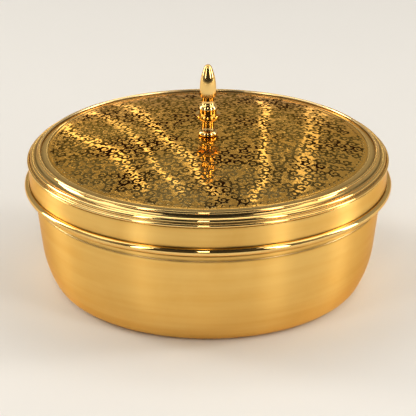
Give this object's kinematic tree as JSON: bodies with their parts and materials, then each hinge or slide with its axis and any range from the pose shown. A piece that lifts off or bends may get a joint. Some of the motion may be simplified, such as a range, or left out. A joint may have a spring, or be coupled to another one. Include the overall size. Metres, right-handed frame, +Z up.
{
  "type": "spice box",
  "caption": "Round brass spice box with a domed slip-over lid, a turned finial, seven cups and a small spoon inside.",
  "frame": {"origin": "middle of the bowl's flat base, on the surface that the box stands on", "axes": "+Z up along the box's axis, -Y towards the viewer, the spoon's handle points along +X"},
  "size_m": [0.22, 0.22, 0.1369],
  "materials": {
    "satin_brass": "spun satin brass, fine brushing round the axis",
    "polished_brass": "polished brass, with an engraved top and dark patina in the cuts",
    "plain_brass": "plain turned brass hardware",
    "cup_brass": "spun brass, semi-bright",
    "spoon_brass": "pressed brass, semi-bright"
  },
  "bodies": {
    "bowl": {"bowl": "satin_brass"},
    "lid": {"lid": "polished_brass", "finial": "polished_brass", "finial_washer": "plain_brass", "finial_nut": "plain_brass"},
    "cup_centre": {"cup_centre": "cup_brass"},
    "cup_1": {"cup_1": "cup_brass"},
    "cup_2": {"cup_2": "cup_brass"},
    "cup_3": {"cup_3": "cup_brass"},
    "cup_4": {"cup_4": "cup_brass"},
    "cup_5": {"cup_5": "cup_brass"},
    "cup_6": {"cup_6": "cup_brass"},
    "spoon": {"spoon": "spoon_brass"}
  },
  "joints": [
    {"name": "lid_lift", "type": "slide", "parent": "bowl", "child": "lid", "axis": [0, 0, 1], "range_m": [0, 0.15]},
    {"name": "cup_centre_lift", "type": "slide", "parent": "bowl", "child": "cup_centre", "axis": [0, 0, 1], "range_m": [0, 0.02]},
    {"name": "spoon_lift", "type": "slide", "parent": "cup_centre", "child": "spoon", "axis": [0, 0, 1], "range_m": [0, 0.014]},
    {"name": "cup_1_lift", "type": "slide", "parent": "bowl", "child": "cup_1", "axis": [0, 0, 1], "range_m": [0, 0.036]},
    {"name": "cup_2_lift", "type": "slide", "parent": "bowl", "child": "cup_2", "axis": [0, 0, 1], "range_m": [0, 0.036]},
    {"name": "cup_3_lift", "type": "slide", "parent": "bowl", "child": "cup_3", "axis": [0, 0, 1], "range_m": [0, 0.036]},
    {"name": "cup_4_lift", "type": "slide", "parent": "bowl", "child": "cup_4", "axis": [0, 0, 1], "range_m": [0, 0.036]},
    {"name": "cup_5_lift", "type": "slide", "parent": "bowl", "child": "cup_5", "axis": [0, 0, 1], "range_m": [0, 0.036]},
    {"name": "cup_6_lift", "type": "slide", "parent": "bowl", "child": "cup_6", "axis": [0, 0, 1], "range_m": [0, 0.036]}
  ]
}
